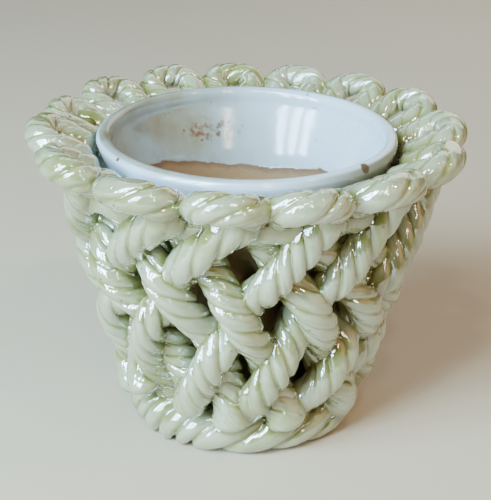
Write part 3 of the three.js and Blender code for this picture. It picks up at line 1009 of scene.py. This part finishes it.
    # A few dark specks, about 1 mm across.
    cells = add_node(tree, "TexVoronoi", values={"Scale": TIN_SPECK_SCALE}, links={"Vector": place})
    sparse = add_node(tree, "SeparateColor", links={"Color": cells.outputs["Color"]})
    chosen = add_node(tree, "Math", {"operation": "GREATER_THAN"}, {1: 0.9}, {0: sparse.outputs["Red"]})
    dot = add_node(tree, "MapRange",
                   values={"From Min": 0.05, "From Max": 0.14, "To Min": 0.8, "To Max": 0.0},
                   links={"Value": cells.outputs["Distance"]})
    speck = add_node(tree, "Math", {"operation": "MULTIPLY"}, links={0: chosen, 1: dot})
    specked = add_node(tree, "Mix", {"data_type": "RGBA"}, {7: linear(CLAY_SPECK)},
                       {0: speck, 6: colour.outputs[2]})

    # Soil, bare clay and chips are dull and gritty, and the glaze is glossy with a soft ripple.
    dry = add_node(tree, "Math", {"operation": "MAXIMUM"}, links={0: soil_here, 1: bare})
    unglazed = add_node(tree, "Math", {"operation": "MAXIMUM"}, links={0: dry, 1: chipped})
    rough = add_node(tree, "MapRange",
                     values={"From Min": 0.0, "From Max": 1.0, "To Min": 0.14, "To Max": 0.75},
                     links={"Value": unglazed})
    grit = add_node(tree, "TexNoise", values={"Scale": GRIT_SCALE, "Detail": 3.0},
                    links={"Vector": place})
    grit_share = add_node(tree, "Math", {"operation": "MULTIPLY"}, links={0: grit, 1: unglazed})
    ripple = add_node(tree, "TexNoise", values={"Scale": TIN_RIPPLE_SCALE, "Detail": 1.0},
                      links={"Vector": place})
    soft = add_node(tree, "Bump", values={"Strength": 0.35, "Distance": 0.0005}, links={"Height": ripple})
    gritty = add_node(tree, "Bump", values={"Strength": 0.7, "Distance": 0.0004},
                      links={"Height": grit_share, "Normal": soft})
    shader = add_node(tree, "BsdfPrincipled", values={"IOR": 1.54, "Specular IOR Level": 0.6},
                      links={"Base Color": specked.outputs[2], "Roughness": rough, "Normal": gritty})
    tree.links.new(shader.outputs["BSDF"], output.inputs["Surface"])
    return material


pot.data.materials.append(make_tin_glaze())

# Studio
# A pale matt floor. Three upright lights stand like the panes of a window at the front left, with
# soft daylight from above them. Weaker light comes from the right, the back, a strip and small lamps.

FLOOR_PALE = "#b8a88f"
FLOOR_SHADE = "#b1a187"
FLOOR_CLOUD_SCALE = 3.0
ROOM_LIGHT = "#c89a5c"
ROOM_STRENGTH = 0.045
LIGHTS_AIM = Vector((0, 0, 0.08))

PANES = 3
PANE_SPACING = 0.21
PANE_WIDTH = 0.11
PANE_HEIGHT = 0.75
PANE_POWER = 18.5
WINDOW_LIGHT = "#b8e2ff"
WINDOW_PLACE = (-0.65, -0.6, 0.5)
WINDOW_ACROSS = (0.68, -0.73)

SKY_POWER = 2.6
SKY_WIDTH = 17
SKY_LIGHT = "#c8e6ff"
SKY_DIRECTION = Vector((0.5, 0.8, -0.95))

LAMP_PLACES = ((0.2, -0.45, 0.95), (0.5, -0.25, 0.8), (-0.12, -0.6, 0.95))
LAMP_SIZE = 0.04
LAMP_POWER = 1.6
LAMP_LIGHT = "#fff8ea"

floor_paint, tree, output = bare_material("pale_matt_floor")
place = add_node(tree, "TexCoord").outputs["Object"]
cloud = add_node(tree, "TexNoise", values={"Scale": FLOOR_CLOUD_SCALE, "Detail": 3.0},
                 links={"Vector": place})
shade = add_node(tree, "Mix", {"data_type": "RGBA"},
                 {6: linear(FLOOR_PALE), 7: linear(FLOOR_SHADE)}, {0: cloud})
paint = add_node(tree, "BsdfPrincipled", values={"Roughness": 0.7},
                 links={"Base Color": shade.outputs[2]})
tree.links.new(paint.outputs["BSDF"], output.inputs["Surface"])

bpy.ops.object.select_all(action="DESELECT")
bpy.ops.mesh.primitive_plane_add(size=8)
ground = bpy.context.object
ground.name = "floor"
ground.data.materials.append(floor_paint)

world = bpy.data.worlds.new("studio")
bpy.context.scene.world = world
world.use_nodes = True
room = world.node_tree.nodes["Background"]
room.inputs["Color"].default_value = linear(ROOM_LIGHT)
room.inputs["Strength"].default_value = ROOM_STRENGTH


def add_light(name, place, width, height, power, colour):
    """A soft rectangular light aimed at the middle of the pot."""
    bpy.ops.object.light_add(type="AREA", location=place)
    lamp = bpy.context.object
    lamp.name = name
    lamp.rotation_euler = (LIGHTS_AIM - Vector(place)).to_track_quat("-Z", "Y").to_euler()
    lamp.data.shape = "RECTANGLE"
    lamp.data.size = width
    lamp.data.size_y = height
    lamp.data.energy = power
    lamp.data.color = linear(colour)[:3]


for pane in range(PANES):
    sideways = PANE_SPACING * (pane - 1)
    place = (WINDOW_PLACE[0] + WINDOW_ACROSS[0] * sideways,
             WINDOW_PLACE[1] + WINDOW_ACROSS[1] * sideways, WINDOW_PLACE[2])
    add_light(f"window_pane_{pane + 1}", place, PANE_WIDTH, PANE_HEIGHT, PANE_POWER, WINDOW_LIGHT)
add_light("fill_right", (0.9, -0.3, 0.55), 1.2, 0.9, 3.6, "#ffd098")
add_light("fill_back", (0.5, 0.95, 0.6), 0.9, 0.6, 3.8, "#fff0da")
add_light("strip_front", (0.3, -0.95, 0.75), 0.12, 0.4, 3.2, "#fff1dc")
add_light("top_back", (-0.1, 0.7, 1.0), 0.9, 0.2, 3.0, "#c8e4ff")
for number, place in enumerate(LAMP_PLACES):
    add_light(f"ceiling_lamp_{number + 1}", place, LAMP_SIZE, LAMP_SIZE, LAMP_POWER, LAMP_LIGHT)
bpy.ops.object.light_add(type="SUN")
sky = bpy.context.object
sky.name = "sky_left"
sky.rotation_euler = SKY_DIRECTION.to_track_quat("-Z", "Y").to_euler()
sky.data.energy = SKY_POWER
sky.data.angle = math.radians(SKY_WIDTH)
sky.data.color = linear(SKY_LIGHT)[:3]

# Camera
# It stands 0.6 m from the pot and looks down at it by 24 degrees, as in the photograph.

AIM = Vector((0, 0, 0.0716))
DISTANCE = 0.600
LOOK_DOWN = math.radians(23.64)
ROLL = math.radians(0.89)
FOCAL_PIXELS = 1415.7
SENSOR = 36
WIDTH = 491
HEIGHT = 500
CENTRE = (245.6, 251.4)

back = Vector((0, -math.cos(LOOK_DOWN), math.sin(LOOK_DOWN)))
right = Vector((1, 0, 0))
up = Vector((0, math.sin(LOOK_DOWN), math.cos(LOOK_DOWN)))
across = right * math.cos(ROLL) + up * math.sin(ROLL)
upward = up * math.cos(ROLL) - right * math.sin(ROLL)
bpy.ops.object.camera_add(location=AIM + back * DISTANCE)
camera = bpy.context.object
camera.rotation_euler = Matrix((across, upward, back)).transposed().to_euler()
camera.data.sensor_width = SENSOR
camera.data.lens = FOCAL_PIXELS * SENSOR / HEIGHT
camera.data.shift_x = -(CENTRE[0] - WIDTH / 2) / HEIGHT
camera.data.shift_y = (CENTRE[1] - HEIGHT / 2) / HEIGHT
camera.data.clip_start = 0.01
bpy.context.scene.camera = camera
